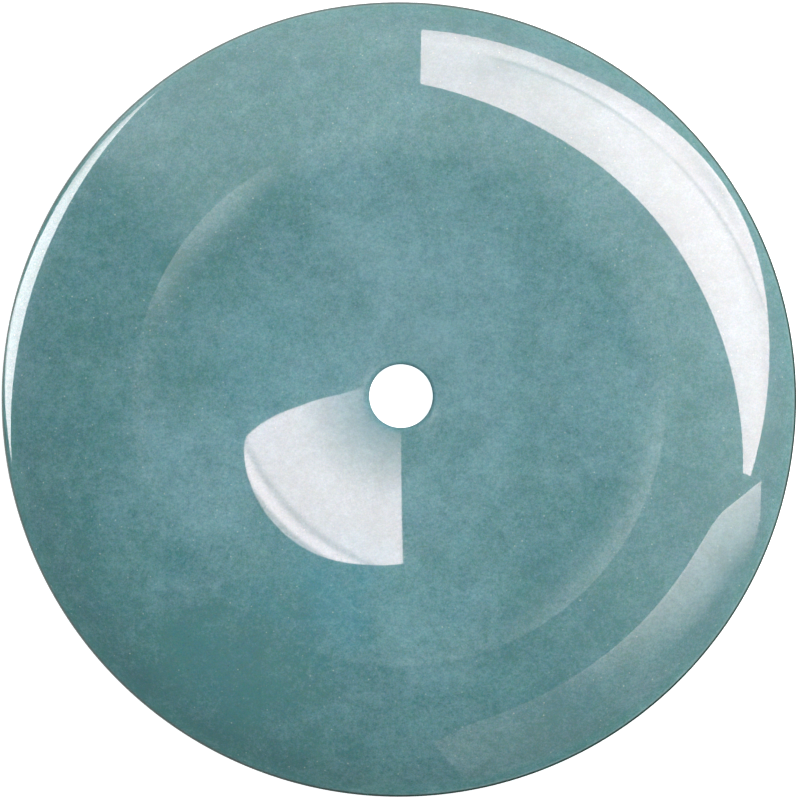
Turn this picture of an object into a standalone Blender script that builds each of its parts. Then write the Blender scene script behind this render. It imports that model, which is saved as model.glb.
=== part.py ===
"""Jade amulet pendant: one polished disc of grey-green jade with a small hole, lying on its back.

The disc is turned from one cross-section. From the rim inwards, its face climbs a rounded shoulder to
a faint crest ring, and falls away again in a shallow dish to the hole. The back has the same shoulder,
a narrow flat ring that the disc lies on, and a shallower dish.

Metres, +Z up. The origin is under the middle of the disc, on the surface that it lies on.
"""

import math

import bpy

# Driving sizes
DISC_RADIUS = 0.0250
HOLE_RADIUS = 0.0020
THICKNESS = 0.0064
CREST_RADIUS = 0.0167
HOLE_OFFSET = (0.00013, 0.00021)

# The shoulder, from the crest to where the rim takes over: its slope at the crest, what the slope gains
# evenly on the way out, and the tilt that it ends with
SHOULDER_END_RADIUS = 0.02468
CREST_SLOPE = 0.03
EVEN_GAIN = 0.15
END_TILT = math.radians(44)
STEEPENING_POWER = 4

# The dish, from the crest to the hole. The back's dish starts inside the flat ring
FRONT_DISH_DEPTH = 0.0022
BACK_DISH_DEPTH = 0.0007
DISH_POWER = 1.65
REST_RING_WIDTH = 0.0016
HOLE_EDGE_RADIUS = 0.00035

# Facets. The shoulder's steps crowd towards the rim, where it bends most
TURN_STEPS = 96
RIM_STEPS = 4
SHOULDER_STEPS = 7
SHOULDER_CROWDING = 1.6
DISH_STEPS = 6
HOLE_EDGE_STEPS = 3

JADE_COLOUR = (0.150, 0.319, 0.342, 1.0)
JADE_ROUGHNESS = 0.12


def clear_scene():
    """Removes whatever the scene holds."""
    for thing in list(bpy.data.objects):
        bpy.data.objects.remove(thing, do_unlink=True)


def shares(count):
    """Even shares from 0 to 1, without the 0."""
    return [(i + 1) / count for i in range(count)]


def shoulder_fall(out):
    """How far the shoulder has fallen below the crest, at a share of its width outwards."""
    steepening = math.tan(END_TILT) - CREST_SLOPE - EVEN_GAIN
    steep_share = out ** (STEEPENING_POWER + 1) / (STEEPENING_POWER + 1)
    width = SHOULDER_END_RADIUS - CREST_RADIUS
    return width * (CREST_SLOPE * out + EVEN_GAIN * out**2 / 2 + steepening * steep_share)


def rim():
    """The rim from its widest point to the shoulder, as (radius, depth below the crest).

    It is part of an upright ellipse, which meets the shoulder at the shoulder's own tilt.
    """
    half = THICKNESS / 2
    width = DISC_RADIUS - SHOULDER_END_RADIUS
    height = half - shoulder_fall(1)
    lean = math.tan(END_TILT) * width / height
    end = math.asin(lean / (1 - lean))
    ellipse_width = width / (1 - math.sin(end))
    ellipse_height = height / math.cos(end)
    points = []
    for share in shares(RIM_STEPS):
        angle = math.pi / 2 + (end - math.pi / 2) * share
        radius = DISC_RADIUS - ellipse_width * (1 - math.sin(angle))
        points.append((radius, half - ellipse_height * math.cos(angle)))
    return points


def shoulder():
    """The shoulder from the rim up to the crest, as (radius, depth below the crest)."""
    points = []
    for share in shares(SHOULDER_STEPS):
        out = 1 - share**SHOULDER_CROWDING
        radius = CREST_RADIUS + (SHOULDER_END_RADIUS - CREST_RADIUS) * out
        points.append((radius, shoulder_fall(out)))
    return points


def dish(outer_radius, dish_depth):
    """The dish down to the hole's wall, with the hole's rounded edge, as (radius, depth below the crest)."""
    width = outer_radius - HOLE_RADIUS
    edge_tilt = math.atan(DISH_POWER * dish_depth / width)
    edge_start = HOLE_RADIUS + HOLE_EDGE_RADIUS * (1 - math.sin(edge_tilt))
    points = []
    for share in shares(DISH_STEPS):
        radius = outer_radius + (edge_start - outer_radius) * share
        inwards = (outer_radius - radius) / width
        points.append((radius, dish_depth * inwards**DISH_POWER))
    edge_depth = points[-1][1]
    for share in shares(HOLE_EDGE_STEPS):
        tilt = edge_tilt + (math.pi / 2 - edge_tilt) * share
        radius = HOLE_RADIUS + HOLE_EDGE_RADIUS * (1 - math.sin(tilt))
        fall = HOLE_EDGE_RADIUS * (math.cos(edge_tilt) - math.cos(tilt))
        points.append((radius, edge_depth + fall))
    return points


def cross_section():
    """The closed outline that is turned, as (radius, height), from the front's hole edge outwards and round."""
    rest_ring_edge = CREST_RADIUS - REST_RING_WIDTH
    front = rim() + shoulder() + dish(CREST_RADIUS, FRONT_DISH_DEPTH)
    back = rim() + shoulder() + [(rest_ring_edge, 0.0)] + dish(rest_ring_edge, BACK_DISH_DEPTH)
    outline = [(radius, THICKNESS - depth) for radius, depth in reversed(front)]
    outline.append((DISC_RADIUS, THICKNESS / 2))
    return outline + back


def drift_to_hole(mesh):
    """Moves the rings inside the crest sideways, a little more each, because the hole is off centre."""
    for vertex in mesh.vertices:
        radius = math.hypot(vertex.co.x, vertex.co.y)
        inwards = max(CREST_RADIUS - radius, 0.0) / (CREST_RADIUS - HOLE_RADIUS)
        vertex.co.x += HOLE_OFFSET[0] * inwards
        vertex.co.y += HOLE_OFFSET[1] * inwards


def jade():
    material = bpy.data.materials.new("polished_jade")
    material.use_nodes = True
    shader = material.node_tree.nodes["Principled BSDF"]
    shader.inputs["Base Color"].default_value = JADE_COLOUR
    shader.inputs["Roughness"].default_value = JADE_ROUGHNESS
    shader.inputs["Metallic"].default_value = 0.0
    return material


def jade_disc(collection):
    """The disc, turned about the upright axis through its middle."""
    outline = cross_section()
    count = len(outline)
    mesh = bpy.data.meshes.new("jade_disc")
    mesh.from_pydata(
        [(radius, 0.0, height) for radius, height in outline],
        [(i, (i + 1) % count) for i in range(count)],
        [],
    )
    disc = bpy.data.objects.new("jade_disc", mesh)
    collection.objects.link(disc)

    screw = disc.modifiers.new("turned", "SCREW")
    screw.axis = "Z"
    screw.angle = math.tau
    screw.steps = TURN_STEPS
    screw.render_steps = TURN_STEPS
    screw.merge_threshold = 0.00001
    bpy.context.view_layer.objects.active = disc
    bpy.ops.object.modifier_apply(modifier=screw.name)

    drift_to_hole(disc.data)
    disc.data.shade_smooth()
    disc.data.set_sharp_from_angle(angle=math.radians(30))
    disc.data.materials.append(jade())


clear_scene()
pendant = bpy.data.collections.new("jade_amulet_pendant")
bpy.context.scene.collection.children.link(pendant)
jade_disc(pendant)
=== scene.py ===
"""A polished jade disc pendant with a cord hole, lying on its back on a white studio table.

Metres, +Z up. The disc's axis is the Z axis, and the ring that it lies on is at z = 0.
"""

import math

import bpy
from mathutils import Matrix, Vector


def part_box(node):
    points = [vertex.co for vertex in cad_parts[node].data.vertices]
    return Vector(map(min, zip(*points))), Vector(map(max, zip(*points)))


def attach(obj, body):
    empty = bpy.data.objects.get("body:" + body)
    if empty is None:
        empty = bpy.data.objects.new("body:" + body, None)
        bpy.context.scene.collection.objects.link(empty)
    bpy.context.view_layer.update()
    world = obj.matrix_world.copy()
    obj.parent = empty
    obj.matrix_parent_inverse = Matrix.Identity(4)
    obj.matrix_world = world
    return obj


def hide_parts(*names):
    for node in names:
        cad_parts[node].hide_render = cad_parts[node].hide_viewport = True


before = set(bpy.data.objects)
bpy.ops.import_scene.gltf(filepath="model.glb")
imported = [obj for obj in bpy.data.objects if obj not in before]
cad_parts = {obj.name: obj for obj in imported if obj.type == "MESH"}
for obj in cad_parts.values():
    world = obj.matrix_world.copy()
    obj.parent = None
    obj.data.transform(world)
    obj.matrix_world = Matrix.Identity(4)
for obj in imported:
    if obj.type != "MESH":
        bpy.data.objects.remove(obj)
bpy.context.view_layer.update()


# The disc
# One round of grey-green jade, sawn from a slab, turned against grinding wheels and polished. The front
# climbs over a rounded shoulder to a faint crest ring and falls in a shallow dish to the drilled cord hole.
# The back has the same shoulder, a narrow flat ring that the disc lies on, and a shallower dish.

disc_low, disc_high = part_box("jade_disc")
DISC_RADIUS = (disc_high.x - disc_low.x) / 2
THICKNESS = disc_high.z - disc_low.z
HOLE_RADIUS = 0.0020
HOLE_OFFSET = Vector((0.00013, 0.00021, 0.0))
HOLE_EDGE_RADIUS = 0.00035
CREST_RADIUS = 0.0167
SHOULDER_END_RADIUS = 0.02468
CREST_SLOPE = 0.03
EVEN_GAIN = 0.15
END_TILT = math.radians(44)
STEEPENING_POWER = 4
FRONT_DISH_DEPTH = 0.0022
BACK_DISH_DEPTH = 0.0007
DISH_POWER = 1.65
REST_RING_WIDTH = 0.0016

# How finely it is turned: steps round it, and rings across each part of its faces
TURN_STEPS = 288
RIM_RINGS = 14
FRONT_SHOULDER_RINGS = 64
FRONT_DISH_RINGS = 52
BACK_SHOULDER_RINGS = 40
BACK_DISH_RINGS = 28
HOLE_EDGE_RINGS = 10
BORE_CUTS = 5
SHOULDER_CROWDING = 1.6
DISH_CROWDING = 1.3
MERGE_DISTANCE = 1e-7


def shares(count, crowding=1.0):
    """Shares from 0 to 1 without the 0, crowded towards 0 where crowding is over 1."""
    return [((i + 1) / count) ** crowding for i in range(count)]


def shoulder_fall(out):
    """How far the shoulder has fallen below the crest, at a share of its width outwards."""
    steepening = math.tan(END_TILT) - CREST_SLOPE - EVEN_GAIN
    steep_share = out ** (STEEPENING_POWER + 1) / (STEEPENING_POWER + 1)
    width = SHOULDER_END_RADIUS - CREST_RADIUS
    return width * (CREST_SLOPE * out + EVEN_GAIN * out**2 / 2 + steepening * steep_share)


def rim(steps):
    """The half-round rim, from its widest point in to the shoulder, as (radius, depth below the crest)."""
    half = THICKNESS / 2
    width = DISC_RADIUS - SHOULDER_END_RADIUS
    height = half - shoulder_fall(1)
    lean = math.tan(END_TILT) * width / height
    end = math.asin(lean / (1 - lean))
    ellipse_width = width / (1 - math.sin(end))
    ellipse_height = height / math.cos(end)
    rings = []
    for share in shares(steps):
        angle = math.pi / 2 + (end - math.pi / 2) * share
        radius = DISC_RADIUS - ellipse_width * (1 - math.sin(angle))
        rings.append((radius, half - ellipse_height * math.cos(angle)))
    return rings


def shoulder(steps):
    """The shoulder from the rim in to the crest, with its rings closer where it is steeper."""
    rings = []
    for share in shares(steps, SHOULDER_CROWDING):
        out = 1 - share
        radius = CREST_RADIUS + (SHOULDER_END_RADIUS - CREST_RADIUS) * out
        rings.append((radius, shoulder_fall(out)))
    return rings


def dish(outer_radius, dish_depth, steps):
    """The dish in to the hole, and the rounded edge of the hole."""
    width = outer_radius - HOLE_RADIUS
    edge_tilt = math.atan(DISH_POWER * dish_depth / width)
    edge_start = HOLE_RADIUS + HOLE_EDGE_RADIUS * (1 - math.sin(edge_tilt))
    rings = []
    for share in shares(steps, DISH_CROWDING):
        radius = outer_radius + (edge_start - outer_radius) * share
        inwards = (outer_radius - radius) / width
        rings.append((radius, dish_depth * inwards**DISH_POWER))
    edge_depth = rings[-1][1]
    for share in shares(HOLE_EDGE_RINGS):
        tilt = edge_tilt + (math.pi / 2 - edge_tilt) * share
        radius = HOLE_RADIUS + HOLE_EDGE_RADIUS * (1 - math.sin(tilt))
        fall = HOLE_EDGE_RADIUS * (math.cos(edge_tilt) - math.cos(tilt))
        rings.append((radius, edge_depth + fall))
    return rings


def grind_face(rings):
    """Shapes the selected round face, which is as wide as the disc, ring by ring in to the hole.

    From the crest inwards the rings drift towards the hole, which isn't quite in the middle.
    """
    radius, depth = DISC_RADIUS, THICKNESS / 2
    for next_radius, next_depth in rings:
        step = (radius - next_radius) * math.cos(math.pi / TURN_STEPS)
        bpy.ops.mesh.inset(thickness=step, depth=depth - next_depth)
        drift = max(CREST_RADIUS - next_radius, 0.0) - max(CREST_RADIUS - radius, 0.0)
        if drift > 0.0:
            bpy.ops.transform.translate(value=HOLE_OFFSET * (drift / (CREST_RADIUS - HOLE_RADIUS)))
        radius, depth = next_radius, next_depth


bpy.ops.object.select_all(action="DESELECT")
bpy.ops.mesh.primitive_circle_add(
    vertices=TURN_STEPS, radius=DISC_RADIUS, fill_type="NGON", location=(0, 0, THICKNESS / 2)
)
jade_disc = bpy.context.active_object
jade_disc.name = "polished_jade_disc"
jade_disc.data.name = "polished_jade_disc"
bpy.ops.object.transform_apply(location=True, rotation=True, scale=True)

# The front, then the back from the same widest ring, then the bore between the faces left in the two dishes
rest_ring_edge = CREST_RADIUS - REST_RING_WIDTH
front = rim(RIM_RINGS) + shoulder(FRONT_SHOULDER_RINGS)
front += dish(CREST_RADIUS, FRONT_DISH_DEPTH, FRONT_DISH_RINGS)
back = rim(RIM_RINGS) + shoulder(BACK_SHOULDER_RINGS) + [(rest_ring_edge, 0.0)]
back += dish(rest_ring_edge, BACK_DISH_DEPTH, BACK_DISH_RINGS)
bpy.ops.object.mode_set(mode="EDIT")
bpy.ops.mesh.select_mode(type="FACE")
bpy.ops.mesh.select_all(action="SELECT")
grind_face(front)
bpy.ops.mesh.select_mode(type="EDGE")
bpy.ops.mesh.select_all(action="DESELECT")
bpy.ops.mesh.select_non_manifold(
    use_wire=False, use_boundary=True, use_multi_face=False, use_non_contiguous=False, use_verts=False
)
bpy.ops.mesh.edge_face_add()
bpy.ops.mesh.select_mode(type="FACE")
grind_face(back)
bpy.ops.object.mode_set(mode="OBJECT")
for face in jade_disc.data.polygons:
    face.select = len(face.vertices) == TURN_STEPS
bpy.ops.object.mode_set(mode="EDIT")
bpy.ops.mesh.bridge_edge_loops(number_cuts=BORE_CUTS)
bpy.ops.mesh.select_all(action="SELECT")
bpy.ops.mesh.remove_doubles(threshold=MERGE_DISTANCE)
bpy.ops.mesh.normals_make_consistent(inside=False)
bpy.ops.object.mode_set(mode="OBJECT")
bpy.ops.object.shade_smooth()


# The jade itself: a fine-grained stone, slightly translucent, with soft pale and dark clouds from a few
# millimetres across down to its crystals, and tiny flecks. Its colour also holds painted light and shade: it
# is paler towards the hole and greener near the rim, for light shining through the thin dish and rim, its
# largest clouds are partly paler towards the overhead lamp and darker away from it, and its very edge is
# painted dark green for the shade where the rim turns under. The polish is a smooth clear skin over it, and
# the drill leaves the bore and its edge matt.

TO_MILLIMETRES = 1000.0
STONE_DARK = (0.082, 0.226, 0.234)
STONE_PALE = (0.260, 0.470, 0.532)
# The paler middle is painted light, for light shining through the thinner dish
TONE_IN_MIDDLE = 0.47
TONE_OUTSIDE = 0.15
PALE_MIDDLE_RADIUS = 0.0145
BLUE_TINT = (0.0, 0.040, 0.070)
# The broad pale cloud at the upper right and the dark one at the lower left are painted light and shade
CLOUDS_AND_PAINTED_SHADING = (
    # middle x and y, reach, tone (over 0 is paler than the stone around it), share of the blue tint
    (0.0060, 0.0055, 0.0130, 0.24, 0.0),
    (0.0008, -0.0010, 0.0055, -0.20, 0.0),
    (-0.0130, -0.0061, 0.0080, 0.32, 0.1),
    (-0.0020, 0.0135, 0.0090, 0.24, 0.0),
    (0.0008, -0.0136, 0.0060, 0.20, 0.2),
    (-0.0115, -0.0168, 0.0095, -0.20, 0.2),
    (-0.0045, -0.0118, 0.0055, -0.06, 1.0),
    (0.0150, -0.0010, 0.0065, 0.24, 0.0),
    (-0.0085, 0.0025, 0.0075, 0.05, 0.4),
)
CLOUD_BEND = 0.012
CLOUD_BEND_SCALE = 0.25
TONE_LAYERS = ((0.16, 0.40), (0.55, 0.42), (1.6, 0.40), (4.5, 0.60), (11.0, 0.70))
HUE_LAYERS = ((0.35, 0.018), (1.0, 0.018), (3.2, 0.030), (9.0, 0.080), (17.0, 0.105))
HUE_SPREAD = (0.9, 1.0, 1.5)
MID_GREY = (0.5, 0.5, 0.5)
LAYER_ROUGHNESS = 0.6
FLECKS = (
    # colour, cells to a millimetre, how rare they are, how far its cells are shifted
    ((0.600, 0.680, 0.580), 2.2, 0.3, 0.0),
    ((0.060, 0.140, 0.130), 1.6, 0.5, 40.0),
)
FLECK_CORE = 0.04
FLECK_EDGE = 0.15
FAINT_FLECKS_RADIUS, FAINT_FLECKS = 0.006, 0.25
CLEAR_FLECKS_RADIUS, CLEAR_FLECKS = 0.015, 0.6
# Painted light: a greener tint near the rim, for light shining through the thin rim
PAINTED_RIM_GLOW = (0.0, 0.030, 0.020)
RIM_TINT_WIDTH = 0.0012
RIM_TINT_FULL_WIDTH = 0.0003
# Painted shade: dark green at the very edge, for the shade where the rim turns under
PAINTED_RIM_SHADE = (0.002, 0.095, 0.075)
RIM_GREEN_WIDTH = 0.00020
RIM_GREEN_FULL_WIDTH = 0.00010
POLISH_START = HOLE_RADIUS + HOLE_EDGE_RADIUS - 0.00009
POLISH_FULL = HOLE_RADIUS + HOLE_EDGE_RADIUS - 0.00003

jade = bpy.data.materials.new("grey_green_jade")
jade.use_nodes = True
jade_tree = jade.node_tree


def place(value, socket, tree):
    """Links a socket, or sets a plain value."""
    if isinstance(value, bpy.types.NodeSocket):
        tree.links.new(value, socket)
    else:
        socket.default_value = value


def calculate(tree, operation, *values):
    node = tree.nodes.new("ShaderNodeMath")
    node.operation = operation
    for value, socket in zip(values, node.inputs):
        place(value, socket, tree)
    return node.outputs["Value"]


def vector_calculate(tree, operation, *values):
    node = tree.nodes.new("ShaderNodeVectorMath")
    node.operation = operation
    for value, socket in zip(values, node.inputs):
        place(value, socket, tree)
    return node.outputs["Value" if operation in ("LENGTH", "DISTANCE", "DOT_PRODUCT") else "Vector"]


def fade(tree, value, start, end, low=0.0, high=1.0, even=False):
    """A change from low to high as the value goes from start to end, eased at both ends unless it is even."""
    node = tree.nodes.new("ShaderNodeMapRange")
    node.interpolation_type = "LINEAR" if even else "SMOOTHSTEP"
    place(value, node.inputs["Value"], tree)
    for name, number in (("From Min", start), ("From Max", end), ("To Min", low), ("To Max", high)):
        place(number, node.inputs[name], tree)
    return node.outputs["Result"]


def noise(tree, where, scale, detail):
    node = tree.nodes.new("ShaderNodeTexNoise")
    tree.links.new(where, node.inputs["Vector"])
    node.inputs["Scale"].default_value = scale
    node.inputs["Detail"].default_value = detail
    node.inputs["Roughness"].default_value = LAYER_ROUGHNESS
    return node


def blend(tree, share, under, over):
    node = tree.nodes.new("ShaderNodeMix")
    node.data_type = "RGBA"
    node.clamp_factor = True
    place(share, node.inputs["Factor"], tree)
    for name, colour in (("A", under), ("B", over)):
        socket = next(s for s in node.inputs if s.name == name and s.type == "RGBA")
        place((*colour, 1.0) if isinstance(colour, tuple) else colour, socket, tree)
    return next(s for s in node.outputs if s.type == "RGBA")


shader = jade_tree.nodes["Principled BSDF"]
where = jade_tree.nodes.new("ShaderNodeTexCoord").outputs["Object"]
millimetres = vector_calculate(jade_tree, "MULTIPLY", where, (TO_MILLIMETRES, TO_MILLIMETRES, TO_MILLIMETRES))
flat_where = vector_calculate(jade_tree, "MULTIPLY", where, (1.0, 1.0, 0.0))
out = vector_calculate(jade_tree, "LENGTH", flat_where)

# Paler towards the hole, where the dish is thinner: painted light, for light shining through the thin stone
tone = fade(jade_tree, out, 0.0, PALE_MIDDLE_RADIUS, TONE_IN_MIDDLE, TONE_OUTSIDE)

# The largest clouds, each with a ragged edge, and then finer and finer layers down to the grain. Besides the
# stone's own clouding, the largest clouds paint light and shade: the broad pale one at the upper right lies
# towards the overhead lamp, and the dark one at the lower left away from it
cloud_bend = noise(jade_tree, millimetres, CLOUD_BEND_SCALE, detail=3.0)
bent = vector_calculate(jade_tree, "SUBTRACT", cloud_bend.outputs["Color"], MID_GREY)
bent = vector_calculate(jade_tree, "MULTIPLY", bent, (CLOUD_BEND, CLOUD_BEND, 0.0))
bent = vector_calculate(jade_tree, "ADD", flat_where, bent)
blueness = 0.0
for cloud_x, cloud_y, cloud_reach, cloud_tone, cloud_blueness in CLOUDS_AND_PAINTED_SHADING:
    reach = vector_calculate(jade_tree, "DISTANCE", bent, (cloud_x, cloud_y, 0.0))
    cloud = fade(jade_tree, reach, 0.0, cloud_reach, 1.0, 0.0)
    tone = calculate(jade_tree, "MULTIPLY_ADD", cloud, cloud_tone, tone)
    blueness = calculate(jade_tree, "MULTIPLY_ADD", cloud, cloud_blueness, blueness)
for scale, strength in TONE_LAYERS:
    layer = noise(jade_tree, millimetres, scale, detail=1.5)
    layer = calculate(jade_tree, "SUBTRACT", layer.outputs["Fac"], 0.5)
    tone = calculate(jade_tree, "MULTIPLY_ADD", layer, strength, tone)
stone = blend(jade_tree, tone, STONE_DARK, STONE_PALE)
tint = vector_calculate(jade_tree, "MULTIPLY", blueness, BLUE_TINT)
stone = vector_calculate(jade_tree, "ADD", stone, tint)

# The stone's hue also changes a little, from patch to patch and from crystal to crystal
for scale, strength in HUE_LAYERS:
    hue = noise(jade_tree, millimetres, scale, detail=1.0).outputs["Color"]
    hue = vector_calculate(jade_tree, "SUBTRACT", hue, MID_GREY)
    hue = vector_calculate(jade_tree, "MULTIPLY", hue, tuple(strength * share for share in HUE_SPREAD))
    stone = vector_calculate(jade_tree, "ADD", stone, hue)

# Flecks: here and there a cell of the grain holds one, and they are clearer away from the hole
fleck_strength = fade(
    jade_tree, out, FAINT_FLECKS_RADIUS, CLEAR_FLECKS_RADIUS, FAINT_FLECKS, CLEAR_FLECKS
)
for fleck_colour, scale, rarity, shift in FLECKS:
    cells = jade_tree.nodes.new("ShaderNodeTexVoronoi")
    cells.inputs["Scale"].default_value = scale
    cell_place = vector_calculate(jade_tree, "ADD", millimetres, (shift, shift, shift))
    jade_tree.links.new(cell_place, cells.inputs["Vector"])
    chance = jade_tree.nodes.new("ShaderNodeSeparateColor")
    jade_tree.links.new(cells.outputs["Color"], chance.inputs["Color"])
    fleck = fade(jade_tree, cells.outputs["Distance"], FLECK_CORE, FLECK_EDGE, 1.0, 0.0)
    fleck = calculate(jade_tree, "MULTIPLY", fleck, fade(jade_tree, chance.outputs["Red"], rarity, 1.0))
    fleck = calculate(jade_tree, "MULTIPLY", fleck, fleck_strength)
    stone = blend(jade_tree, fleck, stone, fleck_colour)

# Painted light and shade at the rim: greener near the rim, for light shining through the thin rim, and dark
# green at its very edge, for the shade where the rim turns under
near_rim = fade(jade_tree, out, DISC_RADIUS - RIM_TINT_WIDTH, DISC_RADIUS - RIM_TINT_FULL_WIDTH)
tint = vector_calculate(jade_tree, "MULTIPLY", near_rim, PAINTED_RIM_GLOW)
stone = vector_calculate(jade_tree, "ADD", stone, tint)
rim_shade_share = fade(jade_tree, out, DISC_RADIUS - RIM_GREEN_WIDTH, DISC_RADIUS - RIM_GREEN_FULL_WIDTH)
stone = blend(jade_tree, rim_shade_share, stone, PAINTED_RIM_SHADE)

# The polish begins just inside the outer end of the hole's rounded edge
from_hole = vector_calculate(jade_tree, "DISTANCE", flat_where, tuple(HOLE_OFFSET))
polish = fade(jade_tree, from_hole, POLISH_START, POLISH_FULL)

jade_tree.links.new(stone, shader.inputs["Base Color"])
shader.inputs["Roughness"].default_value = 0.45
shader.inputs["Specular IOR Level"].default_value = 0.1
shader.inputs["Subsurface Weight"].default_value = 0.25
shader.inputs["Subsurface Radius"].default_value = (0.7, 1.0, 1.0)
shader.inputs["Subsurface Scale"].default_value = 0.0012
jade_tree.links.new(polish, shader.inputs["Coat Weight"])
shader.inputs["Coat Roughness"].default_value = 0.02
shader.inputs["Coat IOR"].default_value = 1.6
jade_disc.data.materials.append(jade)
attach(jade_disc, "root")
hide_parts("jade_disc")


# The table
# A white table under the disc, which glows a little, as a light table does, so that it shows white
# round the disc and through its hole.

TABLE_RADIUS = 3.0
TABLE_EDGES = 96
TABLE_GREY = (0.55, 0.55, 0.55, 1.0)
WHITE = (1.0, 1.0, 1.0, 1.0)

bpy.ops.object.select_all(action="DESELECT")
bpy.ops.mesh.primitive_circle_add(
    vertices=TABLE_EDGES, radius=TABLE_RADIUS, fill_type="NGON", location=(0, 0, 0)
)
table = bpy.context.active_object
table.name = "white_table"
paint = bpy.data.materials.new("white_table")
paint.use_nodes = True
paint_shader = paint.node_tree.nodes["Principled BSDF"]
paint_shader.inputs["Base Color"].default_value = TABLE_GREY
paint_shader.inputs["Roughness"].default_value = 0.7
paint_shader.inputs["Emission Color"].default_value = WHITE
paint_shader.inputs["Emission Strength"].default_value = 0.95
table.data.materials.append(paint)
table.visible_glossy = False
table.visible_diffuse = False


# The lamps
# One soft round lamp nearly overhead lights the stone, and a weak one at the table's level on the left
# lights the rim there. The polish shows neither of them.


def facing(azimuth, elevation):
    """The direction at this azimuth, from +X towards +Y, and this height above the table, in degrees."""
    azimuth, elevation = math.radians(azimuth), math.radians(elevation)
    level = math.cos(elevation)
    return Vector((math.cos(azimuth) * level, math.sin(azimuth) * level, math.sin(elevation)))


def soft_lamp(name, azimuth, elevation, distance, size, watts):
    lamp_data = bpy.data.lights.new(name, "AREA")
    lamp_data.shape = "DISK"
    lamp_data.size = size
    lamp_data.energy = watts
    lamp = bpy.data.objects.new(name, lamp_data)
    bpy.context.scene.collection.objects.link(lamp)
    lamp.location = facing(azimuth, elevation) * distance
    lamp.rotation_euler = lamp.location.to_track_quat("Z", "Y").to_euler()
    lamp.visible_glossy = False
    lamp.visible_camera = False


soft_lamp("overhead_lamp", azimuth=40, elevation=70, distance=0.25, size=0.07, watts=0.54)
soft_lamp("side_lamp", azimuth=155, elevation=4, distance=0.30, size=0.06, watts=0.20)


# The room
# A plain pale studio. It lights the stone a little, and the glowing table lights it more, from below and
# most of all from the lower right. What the polish shows of it is a pale wall at the upper right, a faint
# line low down on the right, and the table, which glows in the rim at the upper left.

ROOM_GLOW = 0.15
TABLE_GLOW = 1.7
TABLE_GLOW_GAIN = 2.5
TABLE_GLOW_AZIMUTH = -45
WALL_GLOW_HIGH = 1.7
WALL_GLOW_LOW = 1.0
WALL_AZIMUTH = 59
WALL_EDGE_AZIMUTH = 141
WALL_DIM_AZIMUTH = 20
WALL_DIM_DEPTH = 0.25
LINE_GLOW = 0.5
LINE_AZIMUTH = -8
RIM_GLOW = 0.5
RIM_GLOW_AZIMUTH = 150
AXIS_GUARD = 0.01

# How far towards their azimuths these changes begin and end: 1 is right at the azimuth, -1 opposite it
TABLE_GLOW_SPAN = (-0.3, 0.7)
WALL_SPAN = (-0.6, 0.25)
WALL_EDGE_SPAN = (-0.15, 0.13)
WALL_FAR_SPAN = (0.3, -0.3)
WALL_DIM_SPAN = (0.2, 0.8)
LINE_SPAN = (0.05, 0.45)
RIM_GLOW_SPAN = (-0.95, 0.9)

# Heights in the room, from 1 overhead to -1 below. Each pair is where a change begins and where it ends
TABLE_LIGHT_HEIGHTS = (0.1, -0.2)
WALL_SHADE_HEIGHTS = (0.6, -0.5)
WALL_TOP_HEIGHTS = (0.707, 0.616)
WALL_FOOT_HEIGHTS = (-0.80, -0.72)
LINE_TOP_HEIGHTS = (-0.35, -0.62)
LINE_FOOT_HEIGHTS = (-0.78, -0.72)
TABLE_EDGE_HEIGHTS = (-0.70, -0.78)


def from_axis(tree, x, y):
    """How far a place is from the disc's axis, or how level a direction is."""
    squares = calculate(tree, "MULTIPLY_ADD", x, x, calculate(tree, "MULTIPLY", y, y))
    return calculate(tree, "SQRT", squares)


def towards(tree, x, y, azimuth):
    """How far a place or direction lies towards an azimuth: 1 there, 0 at right angles to it, -1 opposite."""
    direction = facing(azimuth, 0)
    along = calculate(tree, "MULTIPLY_ADD", x, direction.x, calculate(tree, "MULTIPLY", y, direction.y))
    return calculate(tree, "DIVIDE", along, calculate(tree, "MAXIMUM", from_axis(tree, x, y), AXIS_GUARD))


def dim(tree, glow, share, depth):
    """The glow, made dimmer by this depth where the share is 1. A depth below 0 makes it brighter."""
    left_over = calculate(tree, "SUBTRACT", 1.0, calculate(tree, "MULTIPLY", share, depth))
    return calculate(tree, "MULTIPLY", glow, left_over)


def pale_side(tree, x, y):
    """1 towards the upper right, a little less to the right, and 0 to the left and below.

    It ends in a narrow edge at the upper left, and fades slowly towards the lower right.
    """
    share = fade(tree, towards(tree, x, y, WALL_AZIMUTH), *WALL_SPAN)
    edge = fade(tree, towards(tree, x, y, WALL_EDGE_AZIMUTH - 90), *WALL_EDGE_SPAN)
    far_end = fade(tree, towards(tree, x, y, WALL_EDGE_AZIMUTH), *WALL_FAR_SPAN)
    share = calculate(tree, "MULTIPLY", share, calculate(tree, "MAXIMUM", edge, far_end))
    right = fade(tree, towards(tree, x, y, WALL_DIM_AZIMUTH), *WALL_DIM_SPAN)
    return dim(tree, share, right, WALL_DIM_DEPTH)


world = bpy.data.worlds.new("studio")
world.use_nodes = True
bpy.context.scene.world = world
room = world.node_tree
direction = room.nodes.new("ShaderNodeSeparateXYZ")
room.links.new(room.nodes.new("ShaderNodeTexCoord").outputs["Generated"], direction.inputs["Vector"])
east, north, height = (direction.outputs[name] for name in ("X", "Y", "Z"))

# What lights the stone
table_side = towards(room, east, north, TABLE_GLOW_AZIMUTH)
table_glow = fade(room, table_side, *TABLE_GLOW_SPAN, TABLE_GLOW, TABLE_GLOW * TABLE_GLOW_GAIN)
soft_glow = fade(room, height, *TABLE_LIGHT_HEIGHTS, ROOM_GLOW, table_glow)

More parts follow.
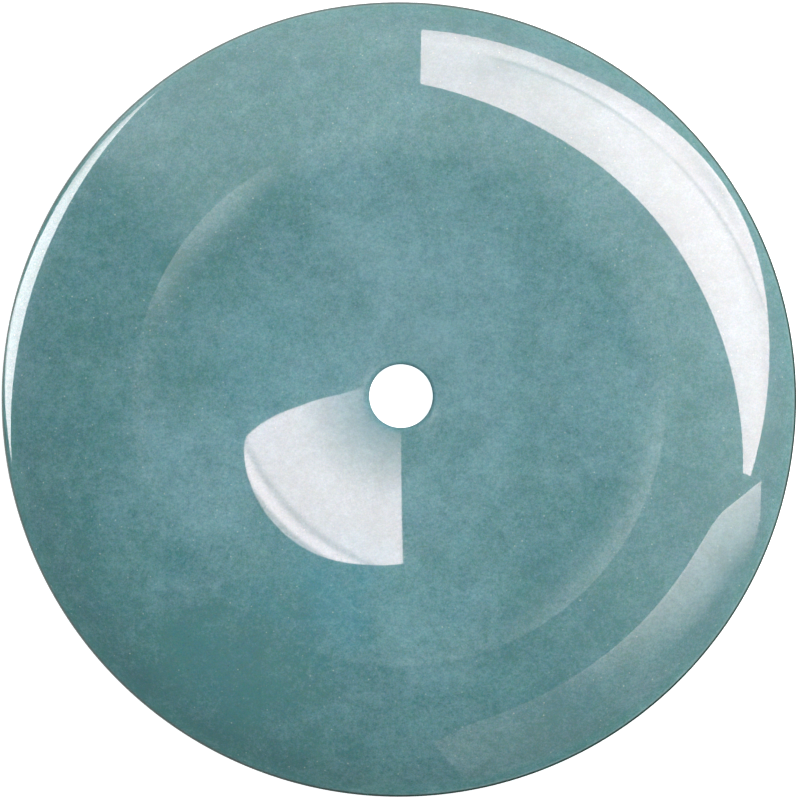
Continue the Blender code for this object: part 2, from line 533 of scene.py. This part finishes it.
# What the polish shows: the wall, the line below it, and the table below them both
shine = fade(room, height, *WALL_SHADE_HEIGHTS, WALL_GLOW_HIGH, WALL_GLOW_LOW)
shine = calculate(room, "MULTIPLY", shine, fade(room, height, *WALL_TOP_HEIGHTS))
shine = calculate(room, "MULTIPLY", shine, fade(room, height, *WALL_FOOT_HEIGHTS))
shine = calculate(room, "MULTIPLY_ADD", shine, pale_side(room, east, north), ROOM_GLOW)
pale_line = fade(room, height, *LINE_TOP_HEIGHTS)
pale_line = calculate(room, "MULTIPLY", pale_line, fade(room, height, *LINE_FOOT_HEIGHTS))
line_side = towards(room, east, north, LINE_AZIMUTH)
pale_line = calculate(room, "MULTIPLY", pale_line, fade(room, line_side, *LINE_SPAN, 0.0, LINE_GLOW))
shine = calculate(room, "ADD", shine, pale_line)
rim_side = towards(room, east, north, RIM_GLOW_AZIMUTH)
rim_glow = fade(room, rim_side, *RIM_GLOW_SPAN, 0.0, RIM_GLOW)
shine = fade(room, height, *TABLE_EDGE_HEIGHTS, shine, rim_glow)

light_path = room.nodes.new("ShaderNodeLightPath")
glow = fade(room, light_path.outputs["Is Glossy Ray"], 0.0, 1.0, soft_glow, shine)
glow = fade(room, light_path.outputs["Is Camera Ray"], 0.0, 1.0, glow, 1.0)
room.links.new(glow, room.nodes["Background"].inputs["Strength"])
room.nodes["Background"].inputs["Color"].default_value = WHITE


# The cards
# The highlights in the polish are glowing cards close to the disc, with corners cut and rounded, and lit
# unevenly, as studio reflectors are. Neither the camera nor the stone's own colour sees them.

CURVE_STEPS = 8


def rounded(corners):
    """The outline through these (left, up, rounding) corners, with a curve at each rounded one."""
    outline = []
    for i, (left, up, rounding) in enumerate(corners):
        corner = Vector((left, up))
        if rounding == 0:
            outline.append(corner)
            continue
        before = Vector(corners[i - 1][:2])
        after = Vector(corners[(i + 1) % len(corners)][:2])
        start = corner + (before - corner).normalized() * rounding
        end = corner + (after - corner).normalized() * rounding
        for step in range(CURVE_STEPS + 1):
            t = step / CURVE_STEPS
            outline.append(start * (1 - t) ** 2 + corner * (2 * t * (1 - t)) + end * t**2)
    return outline


def glowing_card(name, azimuth, elevation, distance, corners, colour, clear=False):
    """A card that faces the disc's middle, with corners (to the left, up, rounding) in millimetres.

    It glows on the side towards the disc alone, and is clear from behind. A clear card adds its glow to
    what is behind it. Returns its nodes, places to the left and up on it in millimetres, and the socket
    that takes the strength of its glow.
    """
    outline = rounded(corners)
    bpy.ops.object.select_all(action="DESELECT")
    bpy.ops.mesh.primitive_circle_add(vertices=len(outline), radius=0.01, fill_type="NGON")
    card = bpy.context.active_object
    card.name = name
    for vertex, (left, up) in zip(card.data.vertices, outline):
        vertex.co = (left / TO_MILLIMETRES, up / TO_MILLIMETRES, 0.0)
    bpy.ops.object.mode_set(mode="EDIT")
    bpy.ops.mesh.select_all(action="SELECT")
    bpy.ops.mesh.normals_make_consistent(inside=False)
    bpy.ops.object.mode_set(mode="OBJECT")
    normal = facing(azimuth, elevation)
    across = facing(azimuth + 90, 0)
    rise = normal.cross(across)
    turn = Matrix((across, rise, normal)).transposed()
    card.matrix_world = Matrix.Translation(normal * distance / TO_MILLIMETRES) @ turn.to_4x4()

    material = bpy.data.materials.new(name)
    material.use_nodes = True
    tree = material.node_tree
    tree.nodes.clear()
    where = tree.nodes.new("ShaderNodeTexCoord").outputs["Object"]
    spot = vector_calculate(tree, "MULTIPLY", where, (TO_MILLIMETRES, TO_MILLIMETRES, 0.0))
    spot_parts = tree.nodes.new("ShaderNodeSeparateXYZ")
    tree.links.new(spot, spot_parts.inputs["Vector"])
    emission = tree.nodes.new("ShaderNodeEmission")
    emission.inputs["Color"].default_value = (*colour, 1.0)
    behind = tree.nodes.new("ShaderNodeBsdfTransparent")
    glow = emission.outputs["Emission"]
    if clear:
        both = tree.nodes.new("ShaderNodeAddShader")
        tree.links.new(glow, both.inputs[0])
        tree.links.new(behind.outputs["BSDF"], both.inputs[1])
        glow = both.outputs["Shader"]
    side = tree.nodes.new("ShaderNodeNewGeometry")
    facing_away = vector_calculate(tree, "DOT_PRODUCT", side.outputs["True Normal"], tuple(normal))
    away = calculate(tree, "GREATER_THAN", facing_away, 0.0)
    two_sides = tree.nodes.new("ShaderNodeMixShader")
    tree.links.new(away, two_sides.inputs["Fac"])
    tree.links.new(glow, two_sides.inputs[1])
    tree.links.new(behind.outputs["BSDF"], two_sides.inputs[2])
    output = tree.nodes.new("ShaderNodeOutputMaterial")
    tree.links.new(two_sides.outputs["Shader"], output.inputs["Surface"])
    card.data.materials.append(material)
    card.visible_camera = False
    card.visible_diffuse = False
    card.visible_shadow = False
    return tree, spot_parts.outputs["X"], spot_parts.outputs["Y"], emission.inputs["Strength"]


def oval(tree, left, up, middle, reach):
    """1 in the middle of a soft oval, and 0 from its edge outwards."""
    across = calculate(tree, "DIVIDE", calculate(tree, "SUBTRACT", left, middle[0]), reach[0])
    along = calculate(tree, "DIVIDE", calculate(tree, "SUBTRACT", up, middle[1]), reach[1])
    squares = calculate(tree, "MULTIPLY_ADD", along, along, calculate(tree, "MULTIPLY", across, across))
    return fade(tree, calculate(tree, "SQRT", squares), 0.0, 1.0, 1.0, 0.0)


def above_curve(tree, left, up, height, slope, bend):
    """How far a place is above the curved line that crosses the card's middle at this height."""
    rise = calculate(tree, "MULTIPLY_ADD", left, bend, slope)
    return calculate(tree, "SUBTRACT", up, calculate(tree, "MULTIPLY_ADD", left, rise, height))


# The large card leans over the disc's upper right, and makes the crescent. It is dimmer towards its ends.
# A seam runs along it, deeper to the left and gone at its left end, and it is brighter below the seam
CRESCENT_COLOUR = (1.0, 0.770, 0.785)
CRESCENT_GLOW = 11.75
CRESCENT_CORNERS = (
    (21.85, 24.6, 0),
    (-3.0, 16.5, 8),
    (-46.5, 17.4, 0),
    (-53.6, 11.4, 0),
    (-22.2, -60.8, 33.4),
    (18.2, -20.2, 6),
    (44.1, -10.4, 0),
)
CRESCENT_OVALS = (
    # middle, reach across and up, how much dimmer (under 0 is brighter)
    ((19.5, 3.0), (8.0, 18.0), 0.16),
    ((-13.0, -35.0), (14.0, 13.0), 0.20),
    ((3.5, -19.0), (14.0, 10.0), -0.13),
)
# Changes on a card are (where it begins, where it ends), and mostly the values there, in millimetres to
# the left, up, or away from a line
CRESCENT_SHADE = (-10.0, 24.0, 1.07, 0.82)
CRESCENT_RIGHT_END, CRESCENT_RIGHT_DEPTH = (-18.0, -32.0), 0.06
CRESCENT_TOP, CRESCENT_TOP_DEPTH = (8.0, 20.0), (8.0, 12.0, 0.12, 0.0)
BELOW_SEAM, BELOW_SEAM_DEPTH = (0.0, -3.0), (-4.0, -12.0, -0.05, 0.0)
SEAM_WIDTH = (0.3, 3.4, 1.0, 0.0)
SEAM_LEFT_END = (21.0, 28.0, 1.0, 0.0)
SEAM_RIGHT_END = (-40.0, -28.0, 0.3, 1.0)
SEAM_DEPTH = (1.0, 9.0, 0.22, 0.34)
tree, left, up, strength = glowing_card(
    "crescent_card", azimuth=45, elevation=45, distance=60, corners=CRESCENT_CORNERS, colour=CRESCENT_COLOUR
)
glow = fade(tree, left, *CRESCENT_SHADE)
glow = dim(tree, glow, fade(tree, left, *CRESCENT_RIGHT_END), CRESCENT_RIGHT_DEPTH)
for middle, reach, depth in CRESCENT_OVALS:
    glow = dim(tree, glow, oval(tree, left, up, middle, reach), depth)
glow = dim(tree, glow, fade(tree, up, *CRESCENT_TOP), fade(tree, left, *CRESCENT_TOP_DEPTH))
above_seam = above_curve(tree, left, up, height=-12.47, slope=0.412, bend=0.00357)
glow = dim(tree, glow, fade(tree, above_seam, *BELOW_SEAM), fade(tree, above_seam, *BELOW_SEAM_DEPTH))
seam = fade(tree, calculate(tree, "ABSOLUTE", above_seam), *SEAM_WIDTH)
seam = calculate(tree, "MULTIPLY", seam, fade(tree, left, *SEAM_LEFT_END))
seam = calculate(tree, "MULTIPLY", seam, fade(tree, left, *SEAM_RIGHT_END))
glow = dim(tree, glow, seam, fade(tree, left, *SEAM_DEPTH))
place(calculate(tree, "MULTIPLY", glow, CRESCENT_GLOW), strength, tree)

# The small card stands upright over the dish, and makes the fan. Its foot is dim, and a fold runs along its
# top edge
FAN_COLOUR = (1.0, 0.785, 0.80)
FAN_GLOW = 11.1
FAN_CORNERS = (
    (-13.5, 20.0, 0),
    (-13.5, 38.3, 0),
    (-8.4, 35.4, 3),
    (-6.5, 46.4, 3.5),
    (-4.6, 74.0, 2),
    (-2.3, 80.5, 4),
    (2.2, 87.1, 4.5),
    (4.6, 82.2, 3),
    (8.25, 86.8, 0),
    (7.9, 20.0, 0),
)
FAN_FOOT = (15.0, 47.5)
FAN_FOOT_BEND = 0.0037
FOLD_WIDTH, FOLD_DEPTH = (0.0, 4.5, 1.0, 0.0), 0.26
ABOVE_FOLD, ABOVE_FOLD_DEPTH = (1.0, 6.0), -0.17
BEYOND_FOLD, BEYOND_FOLD_DEPTH = (9.0, 13.0), 0.5
tree, left, up, strength = glowing_card(
    "fan_card", azimuth=45, elevation=0, distance=8, corners=FAN_CORNERS, colour=FAN_COLOUR
)
foot_bend = calculate(tree, "MULTIPLY_ADD", calculate(tree, "MULTIPLY", left, left), FAN_FOOT_BEND, 1.0)
glow = fade(tree, calculate(tree, "DIVIDE", up, foot_bend), *FAN_FOOT)
above_fold = above_curve(tree, left, up, height=67.6, slope=0.41, bend=0.44)
glow = dim(tree, glow, fade(tree, calculate(tree, "ABSOLUTE", above_fold), *FOLD_WIDTH), FOLD_DEPTH)
glow = dim(tree, glow, fade(tree, above_fold, *ABOVE_FOLD), ABOVE_FOLD_DEPTH)
glow = dim(tree, glow, fade(tree, above_fold, *BEYOND_FOLD), BEYOND_FOLD_DEPTH)
place(calculate(tree, "MULTIPLY", glow, FAN_GLOW), strength, tree)

# A card beyond the left rim makes the thin bright strip there. It is dimmer lower down, most of all at its
# right end
STRIP_COLOUR = (1.0, 0.92, 0.94)
STRIP_GLOW = 10.6
STRIP_CORNERS = (
    (-26.5, 5.4, 0),
    (3.5, 16.2, 26.6),
    (27.4, 5.0, 0),
    (21.9, 4.4, 0),
    (9.6, -20.5, 12),
    (-3.5, 3.4, 2),
)
STRIP_RIGHT_FOOT, STRIP_RIGHT_DEPTH = (8.0, 5.0), (-4.0, -12.0, 0.0, 0.4)
STRIP_FOOT, STRIP_FOOT_DEPTH = (5.0, -9.0), 0.58
tree, left, up, strength = glowing_card(
    "strip_card", azimuth=158, elevation=0, distance=45, corners=STRIP_CORNERS, colour=STRIP_COLOUR
)
glow = dim(tree, 1.0, fade(tree, up, *STRIP_RIGHT_FOOT), fade(tree, left, *STRIP_RIGHT_DEPTH))
glow = dim(tree, glow, fade(tree, up, *STRIP_FOOT), STRIP_FOOT_DEPTH)
place(calculate(tree, "MULTIPLY", glow, STRIP_GLOW), strength, tree)

# A clear card makes the veil at the lower right, brightest at its tip and along its inner edge. On the
# card that edge is level in the middle, falls steeply to the left and climbs gently to the right
VEIL_COLOUR = (1.0, 0.82, 0.82)
VEIL_CORNERS = (
    (27.6, -11.5, 0),
    (13.2, 13.8, 5),
    (-2.0, 15.4, 6),
    (-24.0, 22.8, 0),
    (-33.0, 19.0, 0),
    (-56.4, -33.1, 0),
    (0.0, -33.5, 0),
    (18.0, -31.2, 4),
    (24.0, -25.8, 4),
)
VEIL_EDGE_UP = 14.6
VEIL_RIGHT_BEND, VEIL_RIGHT_SLOPE = -2.0, -0.36
VEIL_LEFT_BEND, VEIL_LEFT_SLOPE = 12.5, -1.72
VEIL_GLOW = (-16.0, 18.0, 0.8, 5.8)
VEIL_DEPTH = (-14.0, 6.0, 13.0, 36.0)
VEIL_RIGHT_DEPTH = (-14.0, -26.0, 0.0, 50.0)
VEIL_FLOOR = (-12.0, 0.0, 0.4, 0.0)
VEIL_EDGE_WIDTH, VEIL_EDGE_DEPTH = (0.0, 2.5, 1.0, 0.0), -0.15
tree, left, up, strength = glowing_card(
    "veil_card", azimuth=320, elevation=40, distance=60, corners=VEIL_CORNERS, colour=VEIL_COLOUR, clear=True
)
right_part = calculate(tree, "MINIMUM", calculate(tree, "SUBTRACT", left, VEIL_RIGHT_BEND), 0.0)
left_part = calculate(tree, "MAXIMUM", calculate(tree, "SUBTRACT", left, VEIL_LEFT_BEND), 0.0)
edge_up = calculate(tree, "MULTIPLY_ADD", right_part, VEIL_RIGHT_SLOPE, VEIL_EDGE_UP)
edge_up = calculate(tree, "MULTIPLY_ADD", left_part, VEIL_LEFT_SLOPE, edge_up)
below_edge = calculate(tree, "SUBTRACT", edge_up, up)
veil_depth = fade(tree, left, *VEIL_DEPTH)
veil_depth = calculate(tree, "ADD", veil_depth, fade(tree, left, *VEIL_RIGHT_DEPTH))
veil_floor = fade(tree, left, *VEIL_FLOOR)
veil_shade = fade(tree, below_edge, 0.0, veil_depth, 1.0, veil_floor, even=True)
glow = calculate(tree, "MULTIPLY", fade(tree, left, *VEIL_GLOW), veil_shade)
glow = dim(tree, glow, fade(tree, below_edge, *VEIL_EDGE_WIDTH), VEIL_EDGE_DEPTH)
place(glow, strength, tree)


# The sheets
# Two clear round sheets hang level over the disc. The low one is just over it and pales the shoulder on the
# pale side, from inside the crest ring outwards. The high one lights the inside of the crest ring.

PALE_SHEET_COLOUR = (1.0, 1.05, 1.0)
PALE_SHEET_SHADE = (19.0, 31.0, 1.15, 1.7)
PALE_SHEET_INNER_EDGE = (13.4, 16.9)
PALE_SHEET_OUTER_EDGE = (29.3, 31.6, 1.0, 0.0)
CREST_SHEET_COLOUR = (1.0, 0.88, 0.89)
CREST_SHEET_SHADE = (10.8, 17.5, 0.0, 1.75)
CREST_LOBES = (
    # azimuth, where it begins and where it is full (1 is right at the azimuth), how bright
    (140, 0.90, 0.99, 0.85),
    (168, 0.75, 1.0, 0.30),
    (330, 0.75, 1.0, 0.80),
    (278, 0.85, 1.0, 0.25),
)


def round_sheet(name, height, radius, colour):
    corners = []
    for azimuth in range(0, 360, 10):
        toward = facing(azimuth, 0) * radius
        corners.append((toward.x, toward.y, 0))
    return glowing_card(
        name, azimuth=-90, elevation=90, distance=height, corners=corners, colour=colour, clear=True
    )


tree, left, up, strength = round_sheet("pale_sheet", height=12, radius=33.0, colour=PALE_SHEET_COLOUR)
ring = from_axis(tree, left, up)
glow = fade(tree, ring, *PALE_SHEET_SHADE)
glow = calculate(tree, "MULTIPLY", glow, fade(tree, ring, *PALE_SHEET_INNER_EDGE))
glow = calculate(tree, "MULTIPLY", glow, fade(tree, ring, *PALE_SHEET_OUTER_EDGE))
place(calculate(tree, "MULTIPLY", glow, pale_side(tree, left, up)), strength, tree)

tree, left, up, strength = round_sheet("crest_sheet", height=36.4, radius=18.4, colour=CREST_SHEET_COLOUR)
glow = 0.0
for azimuth, start, end, peak in CREST_LOBES:
    lobe = fade(tree, towards(tree, left, up, azimuth), start, end, 0.0, peak)
    glow = calculate(tree, "ADD", glow, lobe)
shade = fade(tree, from_axis(tree, left, up), *CREST_SHEET_SHADE)
place(calculate(tree, "MULTIPLY", glow, shade), strength, tree)


# The camera
# It looks straight down from 600 mm above the disc, through a long lens, and stands a few hundredths of a
# millimetre off the disc's axis.

CAMERA_HEIGHT = 0.600
CAMERA_X = 0.000070
CAMERA_Y = -0.000036
PICTURE_WIDTH = 0.05033
SENSOR_WIDTH = 36.0
NEAR_LIMIT = 0.05
FAR_LIMIT = 10.0

camera_data = bpy.data.cameras.new("camera")
camera_data.sensor_width = SENSOR_WIDTH
camera_data.lens = SENSOR_WIDTH * CAMERA_HEIGHT / PICTURE_WIDTH
camera_data.clip_start = NEAR_LIMIT
camera_data.clip_end = FAR_LIMIT
camera = bpy.data.objects.new("camera", camera_data)
bpy.context.scene.collection.objects.link(camera)
camera.location = (CAMERA_X, CAMERA_Y, THICKNESS / 2 + CAMERA_HEIGHT)
bpy.context.scene.camera = camera
bpy.context.scene.view_settings.view_transform = "Standard"
